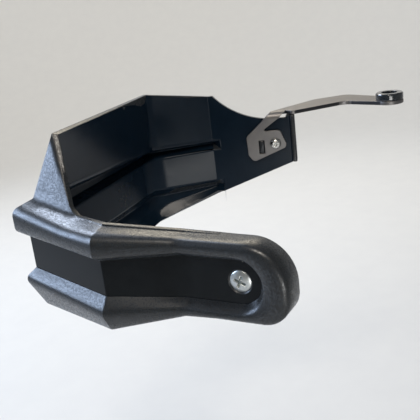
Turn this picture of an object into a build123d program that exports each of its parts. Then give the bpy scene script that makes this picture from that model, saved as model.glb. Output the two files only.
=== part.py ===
from build123d import *
import os
from math import hypot, radians, tan
from typing import NamedTuple

# Left-hand guard of a motorcycle: one moulded shell that bends round the front of the grip.
# Millimetres. X runs along the handlebar towards the middle of the motorcycle, Y forward, Z up.
# The origin is on the bar-end screw's axis, where its thread begins just past the seat.

# Wall of the shell and the relief of its outer face
wall = 3.0
relief = 5.8            # both ridges stand out this far from the band between them
faded_relief = 0.4      # what is left of the ridges where they run into the plain inboard panel
groove_least = 0.8      # least height of a ridge's hollow
band_height = 19.5
lip_rise = 3.3          # the upper ridge's lower edge above the band
ledge_drop = 8.0        # the lower ridge's sloping ledge below the band
ridge_round = 5.5
lip_round = 3.0         # lower edge of the upper ridge
ledge_round = 4.0       # outer edge of the lower ridge
keel_round = 2.5        # lowest corner, where the skirt turns in
foot_round = 2.5        # where the fin meets the shelf
corner_fit = 0.9        # most of a side that the rounds at its ends may use
edge_bead = 0.6         # low upstand along the free inner edge of the arm
bead_end = 0.2          # what is left of it where the rounded end begins
flange_reach = 6.0      # the arm's flanges reach this far in from the band, less the wall
fin_inset = 4.5         # the fin's foot stands this far inside the band

# Arm that comes back to the bar end
arm_half_height = 19.8
arm_rise = 1.0          # middle of the arm above the screw
arm_band_height = 22.5
arm_round = 2.7         # outer edge of the arm
mouth_round = 1.2       # edge of the channel in the arm
arm_join = 12.0         # forward of the screw, where the rounded end begins
arm_bend = 30.0
bend_drop = 0.9         # fall of the lower edge from the rounded end to the bend
arm_tip = 26.2          # the arm's end behind the screw
tip_round_top = 21.0
tip_round_low = 14.0
channel_centre = 0.0    # centre of the channel's round end

# Seat for the bar-end screw
seat_height = 3.1
seat_radius = 10.0
screw_gap = 0.2         # clearance round both screws' shanks

# Plan of the shell: outer face of the band at each crease
near_out = 19.0
near_forward = 70.0
fin_start = 0.36        # share of the way from the near crease to the front one
fin_turn = 0.46         # the fin's edge climbs gently up to here
fin_turn_rise = 4.0
front_in = -1.9
front_forward = 130.6
knuckle_in = 127.0
knuckle_forward = 133.0
inner_in = 153.5
inner_forward = 94.5
end_in = 173.3
end_forward = 39.3
fade_length = 5.5       # run in which the ridges die away past the inner crease

# Height of the fin's foot, and how far the shelf falls from there to the ridge
near_foot = 26.0
near_fall = 2.5
start_foot = 27.0
front_foot = 33.0
front_fall = 5.0
knuckle_foot = 29.5
inner_foot = 29.5
inner_fall = 0.5

# Top edge
front_rim = 67.0
front_lean = 13.0       # the fin leans in by this much at the front crease
knuckle_lean = 1.0
inner_rim = 59.5
end_rim = 40.5
rim_sweep = 55.0        # radius in which the rim falls to the bracket
rim_level_from = 13.6   # back from the inboard edge, where the rim is level again
cutter_reach = 9.0      # how far a cutting body passes through the wall

# Middle of the band and the edges below it
front_band = 3.0
knuckle_band = 9.0
inner_band = 10.5
near_keel = -28.6
near_keel_out = 0.5
front_drop = 5.5        # fall of the ledge at the front crease
front_keel = -30.2
front_keel_in = 1.8
skirt_fall = 1.8        # the skirt's free edge below its corner
knuckle_drop = 6.5
knuckle_keel = -17.0
knuckle_keel_out = 2.5
knuckle_skirt = -25.5
knuckle_skirt_in = 3.0
inner_keel_out = 4.0
inner_skirt = -11.0
inner_skirt_rise = 3.0
inner_drop = 4.0
end_skirt = 10.0
end_lip = 5.0           # return along the inboard edge, at its lower end
end_lip_top = 1.0

# Bracket plate: a tab inside the shell, a strap up to the rim and an arm with the mirror eye.
# Places along the panel are taken back from its inboard edge.
plate = 2.5
plate_bend = 2.0        # inside radius
plate_clear = 0.2       # between the bend and the rim below it
tab_corner = 3.0
tab_outline = [(34.1, 29.5), (33.6, 16.5), (30.1, 11.5), (6.0, 20.7), (10.6, 33.0)]
strap_notch = (23.8, 32.3)
notch_round = 1.0
strap_left = 21.3       # where the strap meets the bend
strap_right = 11.1
strap_rake = 1.1        # the strap runs on round the bend at this slant
heel_along = 1.1        # the arm's corner at the end of the panel
slot_wide = 3.8
slot_high = 9.4
slot_along = 23.8
slot_up = 21.6
lug_gap = 0.25
lug_height = 2.4
eye_in = 201.3
eye_forward = -19.0
eye_radius = 9.2
stem_radius = 5.25
elbow_round = 8.0
elbow_near_in = 199.5
elbow_near_forward = 11.5
elbow_far_in = 225.0
elbow_far_forward = 18.5
shoulder_far_in = 208.0
shoulder_far_forward = 37.5

# Collar that stands on the eye, under the mirror stem
collar_radius = 9.2
collar_height = 4.8
collar_chamfer = 0.7

# Bracket screw, its threaded insert and the boss round it
bolt_radius = 2.0
bolt_along = 14.2
bolt_up = 23.6
bolt_head_radius = 3.8
bolt_head_height = 2.2
bolt_head_flat = 1.9    # radius of the head's flat top
bolt_head_side = 0.5
bolt_hex = 2.5          # across the flats of the socket
bolt_hex_deep = 1.3
thread_gap = 0.05
insert_radius = 2.9
insert_length = 6.5
tip_gap = 0.5           # from the screw's tip to the end of the insert
boss_radius = 5.2
boss_end = 1.5          # plastic left beyond the insert
tip_chamfer = 0.5

# Bar-end screw
bar_screw_radius = 3.0
bar_head_radius = 5.65
bar_head_dome = 1.2
sink_gap = 0.5          # the head's edge lies this far below the channel's floor
bar_neck = 0.4          # plain neck between the seat and the thread
bar_neck_radius = 2.7
bar_screw_reach = 24.0  # length of the thread
cross_wide = 1.3
cross_long = 6.2
cross_deep = 2.6
cross_draft = 8.0
cross_turn = 22.0

# Places that follow from the sizes above
floor_x = -(wall + seat_height + bar_neck)
flange_in = flange_reach + wall
arm_top = arm_rise + arm_half_height
arm_low = arm_rise - arm_half_height
arm_land = arm_half_height - abs(arm_rise) - arm_band_height / 2 - lip_rise
arm_edge = min(arm_round, (arm_land - mouth_round) * corner_fit)
head_x = floor_x + sink_gap
plate_low = end_rim + plate_clear + plate_bend
plate_top = plate_low + plate
ear_top = plate_low - plate_clear
ear_wide = strap_right - strap_rake * (plate_bend + plate) - plate_clear
panel_length = hypot(end_in - inner_in, end_forward - inner_forward)
stand = (Align.CENTER, Align.CENTER, Align.MIN)


class Station(NamedTuple):
    """One crease of the shell: its place in plan, and the section's heights and offsets there."""
    x: float
    y: float
    rim: float
    lean: float
    foot: float
    inset: float
    fall: float
    band: float
    height: float
    drop: float
    out: float
    keel: float
    keel_out: float
    skirt: float
    skirt_in: float
    ridge: float
    lip: float
    ledge: float
    corner: float


def between(a, b, share):
    """Station part of the way from one crease to the next."""
    return Station(*[p + (q - p) * share for p, q in zip(a, b)])


def shell_stations():
    """Creases of the shell from the arm round to where the ridges run out."""
    arm = Station(
        x=floor_x, y=arm_join, rim=arm_top + bead_end, lean=0, foot=arm_top,
        inset=flange_reach, fall=0, band=0, height=arm_band_height, drop=lip_rise, out=relief,
        keel=arm_low, keel_out=relief, skirt=arm_low, skirt_in=flange_in,
        ridge=arm_edge, lip=mouth_round, ledge=mouth_round, corner=arm_edge,
    )
    bend_low = arm_low - bend_drop
    bend = arm._replace(y=arm_bend, rim=arm_top + edge_bead, keel=bend_low, skirt=bend_low)
    near = Station(
        x=-near_out, y=near_forward, rim=near_foot + edge_bead, lean=0, foot=near_foot,
        inset=flange_reach, fall=near_fall, band=0, height=band_height, drop=ledge_drop, out=relief,
        keel=near_keel, keel_out=near_keel_out, skirt=near_keel - skirt_fall, skirt_in=flange_in,
        ridge=ridge_round, lip=lip_round, ledge=ledge_round, corner=keel_round,
    )
    front = Station(
        x=front_in, y=front_forward, rim=front_rim, lean=front_lean, foot=front_foot,
        inset=fin_inset, fall=front_fall, band=front_band, height=band_height, drop=front_drop,
        out=relief,
        keel=front_keel, keel_out=-front_keel_in, skirt=front_keel - skirt_fall, skirt_in=flange_in,
        ridge=ridge_round, lip=lip_round, ledge=ledge_round, corner=keel_round,
    )
    start = between(near, front, fin_start)
    start = start._replace(foot=start_foot, rim=start_foot + edge_bead, lean=0)
    turn = between(start, front, (fin_turn - fin_start) / (1 - fin_start))
    turn_lean = front_lean * fin_turn_rise / (front_rim - front_foot)
    turn = turn._replace(rim=turn.foot + fin_turn_rise, lean=turn_lean)
    knuckle = Station(
        x=knuckle_in, y=knuckle_forward, rim=front_rim, lean=knuckle_lean, foot=knuckle_foot,
        inset=fin_inset, fall=inner_fall, band=knuckle_band, height=band_height, drop=knuckle_drop,
        out=relief,
        keel=knuckle_keel, keel_out=knuckle_keel_out, skirt=knuckle_skirt, skirt_in=knuckle_skirt_in,
        ridge=ridge_round, lip=lip_round, ledge=ledge_round, corner=keel_round,
    )
    inner = Station(
        x=inner_in, y=inner_forward, rim=inner_rim, lean=0, foot=inner_foot,
        inset=0, fall=inner_fall, band=inner_band, height=band_height, drop=inner_drop, out=relief,
        keel=inner_skirt + inner_skirt_rise, keel_out=inner_keel_out, skirt=inner_skirt, skirt_in=0,
        ridge=ridge_round, lip=lip_round, ledge=ledge_round, corner=keel_round,
    )
    share = fade_length / panel_length
    skirt = inner_skirt + (end_skirt - inner_skirt) * share
    ledge = inner_band - band_height / 2 - inner_drop
    fade = inner._replace(
        x=inner_in + (end_in - inner_in) * share, y=inner_forward + (end_forward - inner_forward) * share,
        out=faded_relief, keel=(ledge + skirt) / 2, keel_out=0, skirt=skirt,
    )
    return [arm, bend, near, start, turn, front, knuckle, inner, fade]


def outer_line(s):
    """Outer face of the wall from the rim down to the skirt's free edge, as (outward, height)."""
    top = s.band + s.height / 2
    low = s.band - s.height / 2
    return [
        (-s.inset - s.lean, s.rim),
        (-s.inset, s.foot),
        (s.out, s.foot - s.fall),
        (s.out, top + lip_rise * s.out / relief),
        (0, top),
        (0, low),
        (s.out, low - s.drop),
        (s.keel_out, s.keel),
        (-s.skirt_in, s.skirt),
    ]


def shifted(line, gap):
    """Line parallel to an open polyline, on the side away from the outer face."""
    sides = []
    for (a, b), (c, d) in zip(line, line[1:]):
        run = hypot(c - a, d - b)
        u, v = (c - a) / run, (d - b) / run
        sides.append((a + v * gap, b - u * gap, u, v))
    points = [sides[0][:2]]
    for (x1, y1, u1, v1), (x2, y2, u2, v2) in zip(sides, sides[1:]):
        reach = ((x2 - x1) * v2 - (y2 - y1) * u2) / (u1 * v2 - v1 * u2)
        points.append((x1 + u1 * reach, y1 + v1 * reach))
    u, v = sides[-1][2:]
    points.append((line[-1][0] + v * gap, line[-1][1] - u * gap))
    return points


def inner_line(outer):
    """Inner face of the wall; the hollow behind each ridge stays open where the ridge is low."""
    points = shifted(outer, wall)
    for upper, lower in ((2, 3), (6, 7)):
        (out_a, up_a), (out_b, up_b) = points[upper], points[lower]
        if up_a - up_b < groove_least:
            middle = (up_a + up_b) / 2
            points[upper] = (out_a, middle + groove_least / 2)
            points[lower] = (out_b, middle - groove_least / 2)
    return points


def fitted(points, radii):
    """Radii for the corners, cut down where a side is too short for the rounds at both its ends."""
    sides = [Vector(*b) - Vector(*a) for a, b in zip(points, points[1:] + points[:1])]
    reach = []
    for i, radius in enumerate(radii):
        turn = sides[i - 1].get_angle(sides[i])
        reach.append(radius * tan(radians(turn) / 2))
    rounds = []
    for i, radius in enumerate(radii):
        before = sides[i - 1].length * corner_fit
        after = sides[i].length * corner_fit
        following = reach[(i + 1) % len(points)]
        wanted = max((reach[i - 1] + reach[i]) / before, (reach[i] + following) / after, 1)
        rounds.append(radius / wanted)
    return rounds


def rounded_face(points, radii):
    """Flat face with a chosen radius at each corner."""
    return make_face(FilletPolyline(*points, radius=fitted(points, radii), close=True))


def section(stations, i):
    """Closed section of the wall at one crease, standing in the plane that halves the corner."""
    s = stations[i]
    near_by = stations[max(i - 1, 0):i + 2]
    headings = [Vector(b.x - a.x, b.y - a.y).normalized() for a, b in zip(near_by, near_by[1:])]
    along = (headings[0] + headings[-1]).normalized()
    stretch = 1 / along.dot(headings[0])
    outer = outer_line(s)
    loop = [(out * stretch, up) for out, up in outer + inner_line(outer)[::-1]]
    ridge_inside = max(s.ridge - wall, mouth_round)
    corner_inside = max(s.corner - wall, mouth_round)
    outer_rounds = [0, foot_round, s.ridge, s.lip, 0, 0, s.ledge, s.corner, 0]
    inner_rounds = [0, corner_inside, mouth_round, 0, 0, 0, ridge_inside, foot_round + wall, 0]
    frame = Plane(origin=(s.x, s.y, 0), x_dir=(-along.Y, along.X, 0), z_dir=along)
    return frame * rounded_face(loop, outer_rounds + inner_rounds)


def panel_frame():
    """Frame on the inboard panel's inner face: x along it with zero at the inboard edge, y up, z inward."""
    along = Vector(end_in - inner_in, end_forward - inner_forward).normalized()
    inward = Vector(along.Y, -along.X)
    return Plane(origin=Vector(end_in, end_forward) + inward * wall, x_dir=along, z_dir=inward)


def tip_face(x, inset):
    """Outline of the arm's rounded end, drawn in by an inset, standing across the bar axis at one x."""
    back, top, low = inset - arm_tip, arm_top - inset, arm_low + inset
    points = [(arm_join, top), (back, top), (back, low), (arm_join, low)]
    return Plane.YZ.offset(x) * rounded_face(points, [0, tip_round_top - inset, tip_round_low - inset, 0])


def channel_face(half, x):
    """Outline of the channel with its round rear end, standing across the bar axis at one x."""
    top = (x, arm_join, half)
    low = (x, arm_join, -half)
    back = (x, channel_centre - half, 0)
    turn = ThreePointArc((x, channel_centre, half), back, (x, channel_centre, -half))
    return make_face([Line(top, turn @ 0), turn, Line(turn @ 1, low), Line(low, top)])


def outboard_edges(body):
    """Edges of the arm's outboard face apart from its cut end, those of the channel first."""
    edges = body.edges().group_by(Axis.X)[0].filter_by(lambda edge: edge.center().Y < arm_join - wall)
    return edges.sort_by_distance((floor_x - relief, channel_centre, 0))


def arm_end(arm):
    """Rounded end of the arm: a tray open towards the bar, with the channel sunk into its face."""
    outer = outer_line(arm)
    inner = inner_line(outer)
    face_x = floor_x - relief
    back_x = floor_x + flange_in
    channel = loft([channel_face(up, floor_x - out) for out, up in outer[3:5]], ruled=True)
    floor = loft([channel_face(up, floor_x - out) for out, up in inner[3:5]], ruled=True)

    body = extrude(tip_face(face_x, 0), back_x - face_x, dir=(1, 0, 0)) - channel
    body = fillet(outboard_edges(body)[3:], arm_edge)
    body = fillet(outboard_edges(body)[:3], mouth_round)
    hollow = extrude(tip_face(face_x + wall, wall), back_x - face_x, dir=(1, 0, 0))
    return body - (hollow - floor)


def inboard_panel(panel, fade):
    """Plain flat end of the shell, from where the ridges run out to the inboard edge."""
    start = fade_length - panel_length
    outline = Polyline(
        (start, fade.rim), (start, fade.skirt), (0, end_skirt), (0, fade.rim), close=True,
    )
    return extrude(panel * make_face(outline), -wall)


def rim_cutter(panel):
    """Everything above the rim: its fall from the inner crease, the dip under the bend, the ear."""
    level = (-rim_level_from, end_rim)
    fall = RadiusArc((-rim_level_from - rim_sweep, end_rim + rim_sweep), level, -rim_sweep)
    sides = Polyline(level, (-ear_wide, end_rim), (-ear_wide, ear_top), (rim_sweep, ear_top),
                     (rim_sweep, end_rim + rim_sweep), fall @ 0)
    return extrude(panel * make_face([fall, sides]), cutter_reach, both=True)


def guard_shell(stations, panel):
    """The moulding: folded wall, flat end, rounded arm end, screw seat, bracket boss, lug and end lip."""
    shell = loft([section(stations, i) for i in range(len(stations))], ruled=True)
    shell += inboard_panel(panel, stations[-1])
    shell -= rim_cutter(panel)
    shell += arm_end(stations[0])

    seat_from = floor_x + wall / 2
    shell += extrude(Plane.YZ.offset(seat_from) * Circle(seat_radius), -bar_neck - seat_from)
    hole = bar_screw_radius + screw_gap
    mouth = bar_head_radius + sink_gap
    sink = Polyline(
        (floor_x, 0), (floor_x, mouth), (floor_x + mouth - hole, hole), (wall, hole), (wall, 0), close=True,
    )
    shell -= revolve(make_face(sink), Axis.X)

    lip_root = -wall / 2
    lip = [(lip_root, ear_top), (end_lip_top, ear_top), (end_lip, end_skirt), (lip_root, end_skirt)]
    lip_place = panel.from_local_coords((-wall, 0, 0))
    lip_frame = Plane(origin=lip_place, x_dir=panel.z_dir, z_dir=panel.x_dir * -1)
    shell += extrude(lip_frame * make_face(Polyline(*lip, close=True)), -wall)

    boss_length = insert_length + boss_end
    bolt_place = panel * Pos(-bolt_along, bolt_up, 0)
    boss = Cylinder(boss_radius, boss_length - wall / 2, align=stand)
    shell += bolt_place * Pos(0, 0, -boss_length) * boss
    shell -= bolt_place * Pos(0, 0, -insert_length) * Cylinder(insert_radius, insert_length, align=stand)

    lug_foot = wall / 2
    lug = Box(slot_wide - lug_gap * 2, slot_high - lug_gap * 2, lug_height + lug_foot, align=stand)
    shell += panel * Pos(-slot_along, slot_up, -lug_foot) * lug
    return shell


def mirror_bracket(panel):
    """Bent plate: slotted tab on the panel, strap, bend over the rim, cranked arm and eye."""
    bend_up = end_rim + plate_clear
    outside = plate_bend + plate
    left, right = -strap_left, -strap_right
    far_left, far_right = left + strap_rake * outside, right + strap_rake * outside
    tab_points = [(-back, up) for back, up in tab_outline + [strap_notch]]
    tab_points += [(right, bend_up), (left, bend_up)]
    tab = rounded_face(tab_points, [tab_corner] * len(tab_outline) + [notch_round, 0, 0])
    tab -= Pos(-slot_along, slot_up) * Rectangle(slot_wide, slot_high)
    tab -= Pos(-bolt_along, bolt_up) * Circle(bolt_radius + screw_gap)
    bracket = extrude(panel * tab, plate)

    bend_frame = Plane(
        origin=panel.from_local_coords((left, bend_up, -plate_bend)),
        x_dir=panel.z_dir, z_dir=panel.x_dir * -1,
    )
    ring = Circle(outside) - Circle(plate_bend)
    ring &= Rectangle(outside, outside, align=Align.MIN)
    strap = Polyline(
        (left, bend_up), (right, bend_up), (far_right, plate_top), (far_left, plate_top), close=True,
    )
    bend = extrude(bend_frame * ring, left - far_right)
    bracket += bend & extrude(panel * make_face(strap), cutter_reach, both=True)

    root = [(far_left, -plate_bend), (far_right, -plate_bend), (-heel_along, plate)]
    root = [panel.from_local_coords((along, 0, inward)) for along, inward in root]
    arm_left, arm_right, heel = [(place.X, place.Y) for place in root]
    arm_points = [
        arm_left, (shoulder_far_in, shoulder_far_forward), (elbow_far_in, elbow_far_forward),
        (eye_in + eye_radius, eye_forward), (eye_in - eye_radius, eye_forward),
        (elbow_near_in, elbow_near_forward), heel, arm_right,
    ]
    arm = rounded_face(arm_points, [0, elbow_round, elbow_round, 0, 0, elbow_round, tab_corner, 0])
    arm += Pos(eye_in, eye_forward) * Circle(eye_radius)
    arm -= Pos(eye_in, eye_forward) * Circle(stem_radius)
    return bracket + extrude(Pos(0, 0, plate_low) * arm, plate)


def mirror_collar():
    """Round spacer between the eye and the mirror stem."""
    ring = Cylinder(collar_radius, collar_height, align=stand)
    ring = chamfer(ring.edges(), collar_chamfer)
    ring -= Cylinder(stem_radius, collar_height, align=stand)
    return Pos(eye_in, eye_forward, plate_top) * ring


def bracket_screw(panel):
    """Button-head screw with a hexagon socket, driven from inside the shell."""
    top = plate + bolt_head_height
    tip = tip_gap - insert_length
    dome = RadiusArc((bolt_head_radius, plate + bolt_head_side), (bolt_head_flat, top), -bolt_head_radius)
    lines = Polyline(
        dome @ 1, (0, top), (0, tip), (bolt_radius - tip_chamfer, tip), (bolt_radius, tip + tip_chamfer),
        (bolt_radius, plate), (bolt_head_radius, plate), dome @ 0,
    )
    screw = revolve(Plane.XZ * make_face([dome, lines]), Axis.Z)
    socket = RegularPolygon(bolt_hex / 2, 6, major_radius=False)
    screw -= extrude(Pos(0, 0, top) * socket, -bolt_hex_deep)
    return panel * Pos(-bolt_along, bolt_up, 0) * screw


def bracket_insert(panel):
    """Threaded sleeve moulded into the shell's boss."""
    sleeve = Cylinder(insert_radius, insert_length, align=stand)
    sleeve -= Cylinder(bolt_radius + thread_gap, insert_length, align=stand)
    return panel * Pos(-bolt_along, bolt_up, -insert_length) * sleeve


def bar_end_screw():
    """Raised countersunk screw with a cross recess, seated in the channel's floor."""
    crown = (head_x - bar_head_dome, 0)
    edge = (head_x, bar_head_radius)
    swell = (bar_head_radius ** 2 + bar_head_dome ** 2) / (2 * bar_head_dome)
    dome = RadiusArc(crown, edge, swell)
    neck_from = head_x + bar_head_radius - bar_neck_radius
    lines = Polyline(
        edge, (neck_from, bar_neck_radius), (0, bar_neck_radius), (0, bar_screw_radius),
        (bar_screw_reach - tip_chamfer, bar_screw_radius),
        (bar_screw_reach, bar_screw_radius - tip_chamfer), (bar_screw_reach, 0), crown,
    )
    screw = revolve(make_face([dome, lines]), Axis.X)
    cross = Rectangle(cross_long, cross_wide) + Rectangle(cross_wide, cross_long)
    cross = Plane.YZ.offset(crown[0]) * Rot(0, 0, cross_turn) * cross
    recess = extrude(cross, cross_deep, taper=cross_draft)
    return screw - recess


stations = shell_stations()
panel = panel_frame()
nodes = {
    "guard_shell": guard_shell(stations, panel),
    "mirror_bracket": mirror_bracket(panel),
    "mirror_collar": mirror_collar(),
    "bracket_screw": bracket_screw(panel),
    "bracket_insert": bracket_insert(panel),
    "bar_end_screw": bar_end_screw(),
}
os.makedirs("parts", exist_ok=True)
for name, solid in nodes.items():
    export_step(solid, f"parts/{name}.step")
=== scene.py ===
import bpy
import bmesh
from math import cos, pi, radians, sin
from mathutils import Matrix, Vector
from mathutils.bvhtree import BVHTree
from mathutils.kdtree import KDTree


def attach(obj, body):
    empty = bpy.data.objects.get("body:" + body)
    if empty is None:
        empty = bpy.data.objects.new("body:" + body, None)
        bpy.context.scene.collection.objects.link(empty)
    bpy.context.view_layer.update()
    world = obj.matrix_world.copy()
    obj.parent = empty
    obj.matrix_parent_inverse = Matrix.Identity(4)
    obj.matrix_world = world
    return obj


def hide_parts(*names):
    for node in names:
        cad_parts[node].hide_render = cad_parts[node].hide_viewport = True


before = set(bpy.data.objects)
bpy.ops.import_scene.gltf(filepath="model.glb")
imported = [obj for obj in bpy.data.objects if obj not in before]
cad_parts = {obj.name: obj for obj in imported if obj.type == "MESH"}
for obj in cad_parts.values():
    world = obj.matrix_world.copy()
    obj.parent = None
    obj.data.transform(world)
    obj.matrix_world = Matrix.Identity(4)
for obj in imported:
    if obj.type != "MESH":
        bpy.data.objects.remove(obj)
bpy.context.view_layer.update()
mm = 0.001
scene = bpy.context.scene
scene.view_settings.view_transform = 'Standard'
print("frame loaded:", sorted(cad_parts))


# helpers for colours, nodes and meshes

def linear(hexColour):  # an sRGB hex value as the linear colour that a shader takes
    channels = [int(hexColour[i:i + 2], 16) / 255 for i in (1, 3, 5)]
    return [c / 12.92 if c <= 0.04045 else ((c + 0.055) / 1.055) ** 2.4 for c in channels] + [1.0]


def addNode(tree, kind, settings=(), values=(), links=()):  # one node, set up and linked to its sources
    node = tree.nodes.new(kind)
    for name, value in dict(settings).items():
        setattr(node, name, value)
    for name, value in dict(values).items():
        node.inputs[name].default_value = value
    for name, source in dict(links).items():
        tree.links.new(source, node.inputs[name])
    return node


def newMaterial(name):  # an empty material, its tree and the object's own coordinates
    material = bpy.data.materials.new(name)
    material.use_nodes = True
    tree = material.node_tree
    tree.nodes.clear()
    place = addNode(tree, 'ShaderNodeTexCoord').outputs['Object']
    return material, tree, place


def closeMaterial(tree, shader):
    addNode(tree, 'ShaderNodeOutputMaterial', links={'Surface': shader.outputs[0]})


def meshObject(name, mesh):
    piece = bpy.data.objects.new(name, mesh)
    scene.collection.objects.link(piece)
    return piece


def openMesh(mesh):  # a mesh taken into the editor
    work = bmesh.new()
    work.from_mesh(mesh)
    return work


def keepMesh(work, mesh):  # and put back
    work.to_mesh(mesh)
    work.free()


def applyModifiers(piece):  # turns the piece and its modifiers into a plain mesh
    seen = piece.evaluated_get(bpy.context.evaluated_depsgraph_get())
    mesh = bpy.data.meshes.new_from_object(seen)
    piece.modifiers.clear()
    piece.data = mesh


# materials

def texturedAbs():
    # spark-eroded ABS: the mould's pitted steel leaves a fine pebble, so the black looks charcoal and goes
    # pale where light skims it;
    # its sparkle is painted glints: pale specks in the base colour, on the pebble's real bumps and smoother
    # peaks
    look = {
        "dark": "#0d0f11", "pale": "#2b2f33", "sheenTint": "#dfe9f5",
        "speck": 1.0,  # mm, a real pebble is about 0.2 mm, drawn coarser so that it shows
        "pit": 0.05,   # mm, depth of the pebble
        "pitLevel": 0.42, "glintSpeckLevel": 0.62,  # of the noise
        "pitRough": 0.42, "speckRough": 0.21,
    }
    material, tree, place = newMaterial("ABS spark-eroded charcoal with painted glints")
    speck = addNode(tree, 'ShaderNodeTexNoise', {},
                    {'Scale': 1 / (look["speck"] * mm), 'Detail': 2.0, 'Roughness': 0.7}, {'Vector': place})
    crisp = addNode(tree, 'ShaderNodeMapRange', {},
                    {'From Min': look["pitLevel"], 'From Max': look["glintSpeckLevel"]},
                    {'Value': speck.outputs['Fac']})
    # the pale specks in the base colour are painted glints; the pebble's bump and smoother peaks are real
    tint = addNode(tree, 'ShaderNodeMix', {'data_type': 'RGBA'},
                   {'A': linear(look["dark"]), 'B': linear(look["pale"])},
                   {'Factor': crisp.outputs['Result']})
    rough = addNode(tree, 'ShaderNodeMapRange', {},
                    {'To Min': look["pitRough"], 'To Max': look["speckRough"]},
                    {'Value': crisp.outputs['Result']})
    bump = addNode(tree, 'ShaderNodeBump', {}, {'Strength': 1.0, 'Distance': look["pit"] * mm},
                   {'Height': speck.outputs['Fac']})
    shader = addNode(tree, 'ShaderNodeBsdfPrincipled', {},
                     {'Specular IOR Level': 0.5, 'Sheen Weight': 0.1, 'Sheen Roughness': 0.4,
                      'Sheen Tint': linear(look["sheenTint"])},
                     {'Base Color': tint.outputs['Result'], 'Roughness': rough.outputs['Result'],
                      'Normal': bump.outputs['Normal']})
    closeMaterial(tree, shader)
    return material


def glossAbs():
    # ABS from a polished mould face: deep black that mirrors its surroundings, with faint smears
    look = {
        "black": "#090b0d", "pale": "#14181b",
        "smear": 9.0,      # mm
        "smoothest": 0.07, "roughest": 0.13,
        "specular": 0.15,  # held low, so that a pale room doesn't grey it
    }
    material, tree, place = newMaterial("ABS polished black")
    smear = addNode(tree, 'ShaderNodeTexNoise', {},
                    {'Scale': 1 / (look["smear"] * mm), 'Detail': 5.0}, {'Vector': place})
    rough = addNode(tree, 'ShaderNodeMapRange', {},
                    {'To Min': look["smoothest"], 'To Max': look["roughest"]},
                    {'Value': smear.outputs['Fac']})
    tint = addNode(tree, 'ShaderNodeMix', {'data_type': 'RGBA'},
                   {'A': linear(look["black"]), 'B': linear(look["pale"])}, {'Factor': smear.outputs['Fac']})
    shader = addNode(tree, 'ShaderNodeBsdfPrincipled', {}, {'Specular IOR Level': look["specular"]},
                     {'Base Color': tint.outputs['Result'], 'Roughness': rough.outputs['Result']})
    closeMaterial(tree, shader)
    return material


def satinAbs():
    # ABS from a plain ground mould face: blue-black and half gloss, and the thin lower flange has shrunk
    # into shallow waves that break up its reflections
    look = {
        "black": "#0b1722", "pale": "#101d29",
        "scuff": 5.0,      # mm
        "smoothest": 0.19, "roughest": 0.28,
        "specular": 0.15,  # held low, so that a pale room doesn't grey it
        "wave": 13.0, "sink": 0.8,             # mm, length and depth of the waves
        "waveTop": -9.0, "waveFull": -15.0,    # mm up, where the waves begin and where they are deepest
    }
    material, tree, place = newMaterial("ABS ground-mould blue-black")
    scuff = addNode(tree, 'ShaderNodeTexNoise', {},
                    {'Scale': 1 / (look["scuff"] * mm), 'Detail': 6.0}, {'Vector': place})
    rough = addNode(tree, 'ShaderNodeMapRange', {},
                    {'To Min': look["smoothest"], 'To Max': look["roughest"]},
                    {'Value': scuff.outputs['Fac']})
    tint = addNode(tree, 'ShaderNodeMix', {'data_type': 'RGBA'},
                   {'A': linear(look["black"]), 'B': linear(look["pale"])}, {'Factor': scuff.outputs['Fac']})
    wave = addNode(tree, 'ShaderNodeTexNoise', {},
                   {'Scale': 1 / (look["wave"] * mm), 'Detail': 1.0}, {'Vector': place})
    swing = addNode(tree, 'ShaderNodeMapRange', {}, {'To Min': -0.5, 'To Max': 0.5},
                    {'Value': wave.outputs['Fac']})
    height = addNode(tree, 'ShaderNodeSeparateXYZ', links={'Vector': place})
    low = addNode(tree, 'ShaderNodeMapRange', {},
                  {'From Min': look["waveTop"] * mm, 'From Max': look["waveFull"] * mm},
                  {'Value': height.outputs['Z']})
    sunk = addNode(tree, 'ShaderNodeMath', {'operation': 'MULTIPLY'}, {},
                   {0: swing.outputs['Result'], 1: low.outputs['Result']})
    bump = addNode(tree, 'ShaderNodeBump', {}, {'Strength': 1.0, 'Distance': look["sink"] * mm},
                   {'Height': sunk.outputs[0]})
    shader = addNode(tree, 'ShaderNodeBsdfPrincipled', {}, {'Specular IOR Level': look["specular"]},
                     {'Base Color': tint.outputs['Result'], 'Roughness': rough.outputs['Result'],
                      'Normal': bump.outputs['Normal']})
    closeMaterial(tree, shader)
    return material


def zincFlakeSteel(name, grey, bloom):
    # steel plate dipped in zinc flake: a soft warm grey metal with a cloudy bloom and no clear mirror;
    # a darker copy of it on the sheared edges paints the shade on the plate's sides and in its slots
    look = {
        "cloud": 7.0, "flake": 0.5, "tooth": 0.01,  # mm, the tooth is the flakes' depth
        "smoothest": 0.36, "roughest": 0.5,
    }
    material, tree, place = newMaterial(name)
    cloud = addNode(tree, 'ShaderNodeTexNoise', {},
                    {'Scale': 1 / (look["cloud"] * mm), 'Detail': 4.0}, {'Vector': place})
    flake = addNode(tree, 'ShaderNodeTexNoise', {},
                    {'Scale': 1 / (look["flake"] * mm), 'Detail': 2.0}, {'Vector': place})
    tint = addNode(tree, 'ShaderNodeMix', {'data_type': 'RGBA'},
                   {'A': linear(grey), 'B': linear(bloom)}, {'Factor': cloud.outputs['Fac']})
    rough = addNode(tree, 'ShaderNodeMapRange', {},
                    {'To Min': look["smoothest"], 'To Max': look["roughest"]},
                    {'Value': cloud.outputs['Fac']})
    bump = addNode(tree, 'ShaderNodeBump', {}, {'Strength': 0.6, 'Distance': look["tooth"] * mm},
                   {'Height': flake.outputs['Fac']})
    shader = addNode(tree, 'ShaderNodeBsdfPrincipled', {}, {'Metallic': 0.9},
                     {'Base Color': tint.outputs['Result'], 'Roughness': rough.outputs['Result'],
                      'Normal': bump.outputs['Normal']})
    closeMaterial(tree, shader)
    return material


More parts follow.
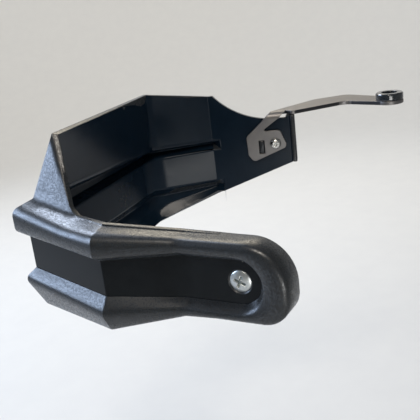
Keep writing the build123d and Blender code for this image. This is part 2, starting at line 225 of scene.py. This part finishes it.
def blackEnamel():
    # stoved black enamel on turned steel: a wet-looking black with a slight orange peel
    look = {"black": "#1c1f22", "pale": "#2b2f33", "peel": 1.2, "depth": 0.008}  # mm
    material, tree, place = newMaterial("Enamel stoved black")
    peel = addNode(tree, 'ShaderNodeTexNoise', {},
                   {'Scale': 1 / (look["peel"] * mm), 'Detail': 2.0}, {'Vector': place})
    tint = addNode(tree, 'ShaderNodeMix', {'data_type': 'RGBA'},
                   {'A': linear(look["black"]), 'B': linear(look["pale"])}, {'Factor': peel.outputs['Fac']})
    bump = addNode(tree, 'ShaderNodeBump', {}, {'Strength': 0.5, 'Distance': look["depth"] * mm},
                   {'Height': peel.outputs['Fac']})
    shader = addNode(tree, 'ShaderNodeBsdfPrincipled', {},
                     {'Roughness': 0.14, 'Coat Weight': 0.5, 'Coat Roughness': 0.05},
                     {'Base Color': tint.outputs['Result'], 'Normal': bump.outputs['Normal']})
    closeMaterial(tree, shader)
    return material


def turnedMetal(name, grey, pale, smoothest, roughest, grain):
    # screws and the sleeve: plated or turned metal, bright, with fine scratches that dull it unevenly
    look = {"depth": 0.02}  # mm, as the grain is
    material, tree, place = newMaterial(name)
    scratch = addNode(tree, 'ShaderNodeTexNoise', {},
                      {'Scale': 1 / (grain * mm), 'Detail': 5.0}, {'Vector': place})
    tint = addNode(tree, 'ShaderNodeMix', {'data_type': 'RGBA'},
                   {'A': linear(grey), 'B': linear(pale)}, {'Factor': scratch.outputs['Fac']})
    rough = addNode(tree, 'ShaderNodeMapRange', {}, {'To Min': smoothest, 'To Max': roughest},
                    {'Value': scratch.outputs['Fac']})
    bump = addNode(tree, 'ShaderNodeBump', {}, {'Strength': 0.4, 'Distance': look["depth"] * mm},
                   {'Height': scratch.outputs['Fac']})
    shader = addNode(tree, 'ShaderNodeBsdfPrincipled', {}, {'Metallic': 1.0},
                     {'Base Color': tint.outputs['Result'], 'Roughness': rough.outputs['Result'],
                      'Normal': bump.outputs['Normal']})
    closeMaterial(tree, shader)
    return material


outsideLook = texturedAbs()
bandLook = glossAbs()
insideLook = satinAbs()
plateLook = zincFlakeSteel("Steel plate zinc-flake grey", "#69676a", "#7f7c77")
# the cut faces' darker copy of the plate's finish is painted shade of the plate's sides and slots
edgeShadeLook = zincFlakeSteel("Steel plate sheared edge painted shade", "#37383a", "#484849")
collarLook = blackEnamel()
stainlessLook = turnedMetal("Stainless steel turned bright", "#a9a8a3", "#d2d1cc", 0.14, 0.30, grain=0.8)
brassLook = turnedMetal("Brass turned", "#a9833f", "#c9a45c", 0.20, 0.36, grain=0.8)
zincLook = turnedMetal("Steel zinc-plated bright", "#b4b9b8", "#dde0df", 0.22, 0.42, grain=1.1)
print("materials made:", len(bpy.data.materials))


# work that the pieces share: joined-up copies of the nodes, narrow ends, rounded edges and even shading

copyValues = {
    "weld": 0.002, "sliver": 0.001,  # mm, points and edges closer than this are one
    "flat": 0.4,                     # degrees, faces that turn less than this are one
}
endValues = {
    "turn": 50.0,                    # degrees, turn from a wall's narrow end to its sides
    "share": 0.6,                    # how much of the end's outline turns so
}


def pieceFrom(node, name, *looks):  # a node's loose triangles joined up, with its flat faces whole
    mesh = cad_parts[node].data.copy()
    mesh.name = name
    work = openMesh(mesh)
    bmesh.ops.remove_doubles(work, verts=work.verts, dist=copyValues["weld"] * mm)
    bmesh.ops.dissolve_degenerate(work, edges=work.edges, dist=copyValues["sliver"] * mm)
    bmesh.ops.dissolve_limit(work, angle_limit=radians(copyValues["flat"]),
                             verts=work.verts, edges=work.edges)
    keepMesh(work, mesh)
    mesh.materials.clear()
    for look in looks:
        mesh.materials.append(look)
    return meshObject(name, mesh)


def faceTurn(edge):  # how far the surface turns at an edge
    return edge.calc_face_angle(0)


def endEdges(face, wide, turn=faceTurn):  # the crisp edges of a face that is a wall's narrow end, or none
    around = sum(edge.calc_length() for edge in face.edges)
    crisp = [edge for edge in face.edges if turn(edge) > radians(endValues["turn"])]
    share = sum(edge.calc_length() for edge in crisp) / around
    narrow = 2 * face.calc_area() / around < wide * mm
    return crisp if narrow and share > endValues["share"] else []


def roundEdges(piece, width, steps, angle=None):  # by the edges' weights, or at all turns past an angle
    bevel = piece.modifiers.new("edges", 'BEVEL')
    bevel.width = width * mm
    bevel.segments = steps
    bevel.use_clamp_overlap = False
    bevel.limit_method = 'WEIGHT'
    if angle:
        bevel.limit_method = 'ANGLE'
        bevel.angle_limit = radians(angle)
    applyModifiers(piece)


def smoothByAngle(mesh, angle):  # smooth shading with the true creases kept sharp
    mesh.shade_smooth()
    mesh.set_sharp_from_angle(angle=radians(angle))


def evenNormals(piece):  # flat faces keep their own normals and only the roundings blend
    even = piece.modifiers.new("normals", 'WEIGHTED_NORMAL')
    even.keep_sharp = True
    applyModifiers(piece)


# shell: the moulding with rounded edges, soft creases, and each face given its own surface

shellValues = {
    "rimEdge": 0.9,        # mm, rounding of the wall's free edges
    "ribEdge": 1.3,        # mm, rounding of the ribs seen from inside
    "outerEdge": 0.35,     # mm, rounding of the other moulded edges
    "edgeSteps": 3,        # flats in each rounding
    "edgeTurn": 28.0,      # degrees, turns sharper than this are edges
    "smoothTurn": 40.0,    # degrees, turns sharper than this are shaded as creases
    "rimWide": 3.3,        # mm, the wall's end is narrower than this
    "insideRun": 25.0,     # mm, free run to the hull that tells an inner face
    "grooveRun": 15.0,     # mm, a face this near to another one lies in a groove
    "bandFit": 0.4,        # mm, how close to the band's plane a band face lies
    "bandFacing": 0.98,    # cosine, how squarely it faces outwards
    "joinAt": 12.0,        # mm forward, small steps where the arm's round end joins stay unrounded
    "planeFit": 0.05,      # mm, points closer than this to a plane are on it
    # plan of the band's face from the arm's end round to the inboard edge, mm
    "plan": [(-6.5, -30), (-6.5, 30), (-19, 70), (-1.9, 130.6), (127, 133), (153.5, 94.5), (173.3, 39.3)],
    # mm either side of each crease, from the bend to the inner one: on the fin, and below it
    "creaseSoft": [(6.0, 6.0), (0.8, 0.8), (0.8, 0.8), (4.0, 10.0), (0.3, 0.3)],
    "creaseReach": 40.0,   # mm, the section lies this close to the plan's corner
    "finFoot": 26.0,       # mm up
    "knee": 4,             # corner of the plan whose inside is moulded round
    "crisp": (2, 3),       # corners of the plan whose outside stays crisp
    "crispFit": 0.1,       # mm, points closer than this to a crisp corner's plane are on it
    "fine": 6.0,           # mm, longest edge on the textured faces
    "halvings": 10,        # most times that a longer edge is cut in two
    "gentle": 5.0,         # mm, reach over which the textured faces' normals are evened
    "gentleFacing": 0.35,  # cosine, faces that turn further away than this don't count
}
shellPlan = [Vector((x, y, 0)) * mm for x, y in shellValues["plan"]]
outsideSlot, bandSlot, insideSlot = range(3)


def onBand(centre, normal):  # whether a face lies in the polished band
    values = shellValues
    for start, end in zip(shellPlan, shellPlan[1:-1]):
        along = (end - start).normalized()
        outward = Vector((-along.y, along.x, 0))
        beside = 0 < (centre - start).dot(along) < (end - start).length
        inPlane = abs((centre - start).dot(outward)) < values["bandFit"] * mm
        if beside and inPlane and normal.dot(outward) > values["bandFacing"]:
            return True
    return False


def mitre(corner):  # the plan's corner and the normal of the plane that halves its turn
    before, here, after = shellPlan[corner - 1:corner + 2]
    return here, ((here - before).normalized() + (after - here).normalized()).normalized()


def atCrease(corner, here, along):  # whether a point of the mesh lies on the crease at a corner of the plan
    away = corner.co - here
    inPlane = abs(away.dot(along)) < shellValues["planeFit"] * mm
    return inPlane and away.xy.length < shellValues["creaseReach"] * mm


def inKnee(edge):  # whether an edge runs down the inside of the rounded corner
    crease = mitre(shellValues["knee"])
    inside = all(face.material_index == insideSlot for face in edge.link_faces)
    return inside and all(atCrease(corner, *crease) for corner in edge.verts)


def roundedTurn(edge):  # none at the edges that stay unrounded: in the knee and where the arm's end joins
    joinAt, fit = shellValues["joinAt"] * mm, shellValues["planeFit"] * mm
    atJoin = all(abs(corner.co.y - joinAt) < fit for corner in edge.verts)
    return 0 if atJoin or inKnee(edge) else faceTurn(edge)


def paintFaces(mesh):  # which faces are textured, polished and smooth inside
    values = shellValues
    work = openMesh(mesh)
    hull = openMesh(mesh)
    bmesh.ops.convex_hull(hull, input=hull.verts, use_existing_faces=False)
    around = BVHTree.FromBMesh(hull)
    itself = BVHTree.FromBMesh(work)
    for face in work.faces:
        centre = face.calc_center_median()
        start = centre + face.normal * values["planeFit"] * mm
        toHull = around.ray_cast(start, face.normal)[3]
        toSelf = itself.ray_cast(start, face.normal)[3]
        inGroove = toSelf is not None and toSelf < values["grooveRun"] * mm
        deepInside = toHull is not None and toHull > values["insideRun"] * mm
        if onBand(centre, face.normal):
            face.material_index = bandSlot
        elif inGroove or (deepInside and not endEdges(face, values["rimWide"])):
            face.material_index = insideSlot
        else:
            face.material_index = outsideSlot
    keepMesh(work, mesh)
    hull.free()


def softCreases(mesh):  # a loop on each side of every crease, so that smooth shading turns only between them
    finFoot = shellValues["finFoot"] * mm
    work = openMesh(mesh)
    for number, soft in enumerate(shellValues["creaseSoft"], 1):
        here, along = mitre(number)
        for onFin, reach in zip((True, False), soft):
            for side in (-1, 1):
                creased = [corner for corner in work.verts if atCrease(corner, here, along)]
                # dictionaries keep their order, so that every run cuts alike
                faces = dict.fromkeys(face for corner in creased for face in corner.link_faces)
                faces = [face for face in faces if (face.calc_center_median().z > finFoot) == onFin]
                edges = dict.fromkeys(edge for face in faces for edge in face.edges)
                corners = dict.fromkeys(corner for face in faces for corner in face.verts)
                bmesh.ops.bisect_plane(work, geom=[*faces, *edges, *corners], dist=copyValues["sliver"] * mm,
                                       plane_co=here + along * side * reach * mm, plane_no=along)
    keepMesh(work, mesh)


def weighEdges(mesh):  # how far each edge is rounded: the free rim, the ribs seen from inside, then the rest
    values = shellValues
    work = openMesh(mesh)
    weight = work.edges.layers.float.new("bevel_weight_edge")
    rim = {edge for face in work.faces for edge in endEdges(face, values["rimWide"], roundedTurn)}
    for edge in work.edges:
        if edge in rim:
            edge[weight] = values["rimEdge"] / values["ribEdge"]
        elif roundedTurn(edge) > radians(values["edgeTurn"]):
            inside = all(face.material_index == insideSlot for face in edge.link_faces)
            edge[weight] = 1.0 if inside and edge.is_convex else values["outerEdge"] / values["ribEdge"]
    keepMesh(work, mesh)


def fineFaces(mesh):  # cuts the textured faces small, so that their normals can turn gently
    work = openMesh(mesh)
    longest = shellValues["fine"] * mm
    for halving in range(shellValues["halvings"]):
        textured = [face for face in work.faces if face.material_index == outsideSlot]
        bmesh.ops.triangulate(work, faces=[face for face in textured if len(face.verts) > 3])
        far = [edge for edge in work.edges if edge.calc_length() > longest
               and any(face.material_index == outsideSlot for face in edge.link_faces)]
        if not far:
            break
        bmesh.ops.subdivide_edges(work, edges=far, cuts=1)
    keepMesh(work, mesh)


def softKnee(mesh):  # the inside of the rounded corner is shaded without its crease
    work = openMesh(mesh)
    for edge in work.edges:
        if inKnee(edge):
            edge.smooth = True
    keepMesh(work, mesh)


def gentleNormals(mesh):  # each textured corner takes the mean normal round it, but not past a crisp corner
    values = shellValues
    reach = values["gentle"] * mm
    planes = [mitre(corner) for corner in values["crisp"]]
    outside = [face for face in mesh.polygons if face.material_index == outsideSlot]
    parts = [sum((face.center - here).dot(along) > 0 for here, along in planes) for face in outside]
    pull = [face.normal * face.area for face in outside]
    tree = KDTree(len(outside))
    for number, face in enumerate(outside):
        tree.insert(face.center, number)
    tree.balance()

    def meanNormal(spot, part, fan):  # large and near faces count most
        onCrease = any(abs((spot - here).dot(along)) < values["crispFit"] * mm for here, along in planes)
        total = Vector()
        for place, number, away in tree.find_range(spot, reach):
            samePart = onCrease or parts[number] == part
            if samePart and pull[number].dot(fan) > values["gentleFacing"] * outside[number].area:
                total += pull[number] * (1 - away / reach)
        return total.normalized() if total.length > 0 else fan

    normals = [corner.vector.copy() for corner in mesh.corner_normals]
    means = {}  # one for each smooth fan of corners
    for face, part in zip(outside, parts):
        for corner in face.loop_indices:
            vertex = mesh.loops[corner].vertex_index
            fan = normals[corner]
            key = vertex, part, round(fan.x, 1), round(fan.y, 1), round(fan.z, 1)
            if key not in means:
                means[key] = meanNormal(mesh.vertices[vertex].co, part, fan)
            normals[corner] = means[key]
    mesh.normals_split_custom_set(normals)
    print("textured faces:", len(outside), "means:", len(means))


shell = pieceFrom("guard_shell", "moulded_shell", outsideLook, bandLook, insideLook)
paintFaces(shell.data)
softCreases(shell.data)
weighEdges(shell.data)
roundEdges(shell, shellValues["ribEdge"], shellValues["edgeSteps"])
fineFaces(shell.data)
smoothByAngle(shell.data, shellValues["smoothTurn"])
softKnee(shell.data)
evenNormals(shell)
gentleNormals(shell.data)
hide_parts("guard_shell")
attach(shell, "root")
print("shell faces:", len(shell.data.polygons))


# bracket plate: cut and bent, with its cut edges broken

plateValues = {
    "edge": 0.3, "edgeSteps": 2,            # mm, rounding of the cut edges
    "edgeTurn": 40.0, "smoothTurn": 35.0,   # degrees
    "cutWide": 3.2,                         # mm, a cut face is narrower than this
}

plate = pieceFrom("mirror_bracket", "bent_plate", plateLook, edgeShadeLook)
work = openMesh(plate.data)
# the cut faces take the darker copy: painted shade on the plate's sides and in its slots
for face in work.faces:
    face.material_index = 1 if endEdges(face, plateValues["cutWide"]) else 0
keepMesh(work, plate.data)
roundEdges(plate, plateValues["edge"], plateValues["edgeSteps"], plateValues["edgeTurn"])
smoothByAngle(plate.data, plateValues["smoothTurn"])
evenNormals(plate)
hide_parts("mirror_bracket")
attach(plate, "root")
print("plate faces:", len(plate.data.polygons))


# bar-end screw: the head as modelled, and a rolled thread wound on a thinner core

threadValues = {
    "pitch": 1.0, "crest": 2.98, "core": 2.45,  # mm, the last two are radii
    "start": 0.3, "end": 23.2,                  # mm along the bar
    "steps": 28,                                # straight runs in a turn
    "beadSides": 6, "beadSink": 1.15,           # the bead is this much fatter, so that it sinks into the core
    "shankFrom": -0.01,                         # mm along the bar, the shank lies past this
    "edge": 0.25, "edgeSteps": 2,               # mm, rounding of the head's edges
    "edgeTurn": 40.0, "smoothTurn": 40.0,       # degrees
}


def threadTree():  # a helix with a round bead swept along it, laid along the bar
    tree = bpy.data.node_groups.new("rolled thread", 'GeometryNodeTree')
    inputs = {"Turns": 'Float', "Steps": 'Int', "Radius": 'Float', "Bead": 'Float', "Bead sides": 'Int',
              "Length": 'Float', "Start": 'Float', "Finish": 'Material'}
    for name, kind in inputs.items():
        tree.interface.new_socket(name, in_out='INPUT', socket_type='NodeSocket' + kind)
    tree.interface.new_socket("Geometry", in_out='OUTPUT', socket_type='NodeSocketGeometry')
    given = addNode(tree, 'NodeGroupInput').outputs
    helix = addNode(tree, 'GeometryNodeCurveSpiral', links={
        'Resolution': given["Steps"], 'Rotations': given["Turns"], 'Start Radius': given["Radius"],
        'End Radius': given["Radius"], 'Height': given["Length"]})
    bead = addNode(tree, 'GeometryNodeCurvePrimitiveCircle',
                   links={'Resolution': given["Bead sides"], 'Radius': given["Bead"]})
    swept = addNode(tree, 'GeometryNodeCurveToMesh', values={'Fill Caps': True},
                    links={'Curve': helix.outputs[0], 'Profile Curve': bead.outputs[0]})
    place = addNode(tree, 'ShaderNodeCombineXYZ', links={'X': given["Start"]})
    laid = addNode(tree, 'GeometryNodeTransform', values={'Rotation': (0, pi / 2, 0)},
                   links={'Geometry': swept.outputs[0], 'Translation': place.outputs[0]})
    whole = addNode(tree, 'GeometryNodeRealizeInstances', links={'Geometry': laid.outputs[0]})
    coated = addNode(tree, 'GeometryNodeSetMaterial',
                     links={'Geometry': whole.outputs[0], 'Material': given["Finish"]})
    addNode(tree, 'NodeGroupOutput', links={"Geometry": coated.outputs[0]})
    return tree


def threadMesh():  # the thread alone, as a plain mesh
    values = threadValues
    bead = (values["crest"] - values["core"]) / 2 * values["beadSink"]
    length = values["end"] - values["start"]
    holder = meshObject("thread", bpy.data.meshes.new("thread"))
    wind = holder.modifiers.new("thread", 'NODES')
    wind.node_group = threadTree()
    sizes = {"Turns": length / values["pitch"], "Steps": values["steps"], "Length": length * mm,
             "Radius": (values["crest"] - bead) * mm, "Bead": bead * mm, "Bead sides": values["beadSides"],
             "Start": values["start"] * mm, "Finish": zincLook}
    for socket in wind.node_group.interface.items_tree:
        if socket.in_out == 'INPUT':
            wind[socket.identifier] = sizes[socket.name]
    applyModifiers(holder)
    mesh = holder.data
    bpy.data.objects.remove(holder)
    return mesh


barScrew = pieceFrom("bar_end_screw", "threaded_screw", zincLook)
for corner in barScrew.data.vertices:  # the plain shank shrinks to the thread's core
    around = corner.co.yz.length
    if corner.co.x > threadValues["shankFrom"] * mm and around > threadValues["core"] * mm:
        corner.co.yz = corner.co.yz * (threadValues["core"] * mm / around)
roundEdges(barScrew, threadValues["edge"], threadValues["edgeSteps"], threadValues["edgeTurn"])
work = openMesh(barScrew.data)
work.from_mesh(threadMesh())
bmesh.ops.recalc_face_normals(work, faces=work.faces)
keepMesh(work, barScrew.data)
smoothByAngle(barScrew.data, threadValues["smoothTurn"])
evenNormals(barScrew)
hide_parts("bar_end_screw")
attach(barScrew, "root")
print("screw faces:", len(barScrew.data.polygons))


# collar, bracket screw and its sleeve: the turned parts, with their edges broken

turnedValues = {
    "edgeSteps": 2, "edgeTurn": 35.0, "smoothTurn": 40.0,  # degrees
    "pieces": {  # node, finish, slot, rounding of the edges in mm
        "enamelled_collar": ("mirror_collar", collarLook, "collar", 0.25),
        "socket_screw": ("bracket_screw", stainlessLook, "stainless", 0.15),
        "brass_sleeve": ("bracket_insert", brassLook, "brass", 0.15),
    },
}
for name, (node, look, slot, edge) in turnedValues["pieces"].items():
    piece = pieceFrom(node, name, look)
    roundEdges(piece, edge, turnedValues["edgeSteps"], turnedValues["edgeTurn"])
    smoothByAngle(piece.data, turnedValues["smoothTurn"])
    evenNormals(piece)
    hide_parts(node)
    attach(piece, "root")
print("turned parts finished:", len(turnedValues["pieces"]))


# floor and backdrop

paperValues = {
    "floorDrop": 0.26,                    # m below the bar end
    "wallAway": 2.4, "wallHeight": 2.6,   # m, from the bar end and from the floor
    "wallRound": 0.9, "roundSteps": 12,   # m, sweep from floor to wall
    "wallSteps": 64,                      # all round
    "weld": 0.1,                          # mm, the sheet's seam and middle are closed over this
}


def sweep():  # floor and wall in one round pale sheet, joined by a quarter round, facing inwards
    values = paperValues
    profile = [(0.0, 0.0), (values["wallAway"] - values["wallRound"], 0.0)]
    for step in range(1, values["roundSteps"] + 1):
        turn = step / values["roundSteps"] * pi / 2
        away = values["wallAway"] - values["wallRound"] * (1 - sin(turn))
        up = values["wallRound"] * (1 - cos(turn))
        profile.append((away, up))
    profile.append((values["wallAway"], values["wallHeight"]))
    work = bmesh.new()
    corners = [work.verts.new((away, 0, up - values["floorDrop"])) for away, up in profile]
    edges = [work.edges.new(pair) for pair in zip(corners, corners[1:])]
    bmesh.ops.spin(work, geom=corners + edges, cent=(0, 0, 0), axis=(0, 0, 1), angle=2 * pi,
                   steps=values["wallSteps"])
    bmesh.ops.remove_doubles(work, verts=work.verts, dist=values["weld"] * mm)
    bmesh.ops.recalc_face_normals(work, faces=work.faces)
    if sum(face.normal.z * face.calc_area() for face in work.faces) < 0:  # the floor faces up
        bmesh.ops.reverse_faces(work, faces=work.faces)
    mesh = bpy.data.meshes.new("sweep")
    keepMesh(work, mesh)
    mesh.shade_smooth()
    return meshObject("sweep", mesh)


def paperLook():
    # matt background paper: a pale warm grey that stays below white under the lamps, with the faintest grain
    look = {"paper": "#d4d2cd", "grain": "#cfcdc9", "fibre": 25.0}  # mm
    material, tree, place = newMaterial("Paper matt pale")
    grain = addNode(tree, 'ShaderNodeTexNoise', {},
                    {'Scale': 1 / (look["fibre"] * mm), 'Detail': 2.0}, {'Vector': place})
    tint = addNode(tree, 'ShaderNodeMix', {'data_type': 'RGBA'},
                   {'A': linear(look["grain"]), 'B': linear(look["paper"])}, {'Factor': grain.outputs['Fac']})
    shader = addNode(tree, 'ShaderNodeBsdfPrincipled', {}, {'Roughness': 0.9, 'Specular IOR Level': 0.1},
                     {'Base Color': tint.outputs['Result']})
    closeMaterial(tree, shader)
    return material


backdrop = sweep()
backdrop.data.materials.append(paperLook())
print("floor and backdrop set")


# camera

cameraValues = {
    "place": (-0.27230, -0.14118, 0.13377),                  # m
    "heading": -60.134, "pitch": 17.865, "roll": -6.801,     # degrees
    "lens": 60.094, "sensor": 36.0,                          # mm
    "clipStart": 0.01,                                       # m
}
lens = bpy.data.cameras.new("camera")
lens.lens = cameraValues["lens"]
lens.sensor_width = cameraValues["sensor"]
lens.clip_start = cameraValues["clipStart"]
camera = bpy.data.objects.new("camera", lens)
scene.collection.objects.link(camera)
camera.matrix_world = (Matrix.Translation(cameraValues["place"])
                       @ Matrix.Rotation(radians(cameraValues["heading"]), 4, 'Z')
                       @ Matrix.Rotation(radians(90 - cameraValues["pitch"]), 4, 'X')
                       @ Matrix.Rotation(radians(cameraValues["roll"]), 4, 'Z'))
scene.camera = camera


# lamps and room light

lampValues = {
    "middle": (0.08, 0.05, 0.01),  # m, the spot on the guard that the softboxes face
    "spread": 120,                 # degrees, a grid keeps the softboxes off the paper
    "softboxes": {  # azimuth and elevation in degrees, distance and size in m, watts, colour
        "front softbox": (110, 17, 1.4, (1.0, 0.55), 8.5, "#c8deff"),    # pale blue, on the outer facets
        "shelf softbox": (70, 46, 1.4, (0.55, 0.4), 5.4, "#dae8ff"),     # on the shelf in front of the fin
        "back softbox": (33, 41, 1.4, (0.9, 0.45), 3.0, "#fff3dc"),      # warm, skims the shelves
        "camera softbox": (199, 53, 1.2, (0.36, 0.36), 2.8, "#fff6ea"),  # small, for the ribs inside
        "low softbox": (214, -14, 0.8, (0.36, 0.2), 0.8, "#f6f6f4"),     # small, for the middle of the inside
    },
    "paperAway": 0.9, "paperUp": 1.0, "paperSize": (2.4, 0.6),  # m
    "paperTilt": -0.75, "paperPower": 20,                       # drop for each metre ahead, watts
    "roomColour": "#e6ebf2", "roomStrength": 0.22,
}
guardMiddle = Vector(lampValues["middle"])


def flatLamp(name, place, facing, size, power):
    lamp = bpy.data.lights.new(name, 'AREA')
    lamp.shape = 'RECTANGLE'
    lamp.size, lamp.size_y = size
    lamp.energy = power
    box = bpy.data.objects.new(name, lamp)
    scene.collection.objects.link(box)
    box.location = place
    box.rotation_euler = facing.to_track_quat('-Z', 'Y').to_euler()
    box.visible_camera = False
    return lamp


for name, (azimuth, elevation, away, size, power, colour) in lampValues["softboxes"].items():
    level = cos(radians(elevation))
    way = Vector((cos(radians(azimuth)) * level, sin(radians(azimuth)) * level, sin(radians(elevation))))
    softbox = flatLamp(name, guardMiddle + way * away, -way, size, power)
    softbox.spread = radians(lampValues["spread"])
    softbox.color = linear(colour)[:3]

# one more lights only the far paper, with its back to the guard
ahead = Matrix.Rotation(radians(cameraValues["heading"]), 3, 'Z') @ Vector((0, 1, 0))
paperPlace = guardMiddle + ahead * lampValues["paperAway"] + Vector((0, 0, lampValues["paperUp"]))
paperFacing = ahead + Vector((0, 0, lampValues["paperTilt"]))
flatLamp("paper lamp", paperPlace, paperFacing, lampValues["paperSize"], lampValues["paperPower"])

world = bpy.data.worlds.new("room")
scene.world = world
world.use_nodes = True
room = world.node_tree.nodes["Background"]
room.inputs["Color"].default_value = linear(lampValues["roomColour"])
room.inputs["Strength"].default_value = lampValues["roomStrength"]
print("camera, lamps and room light set")
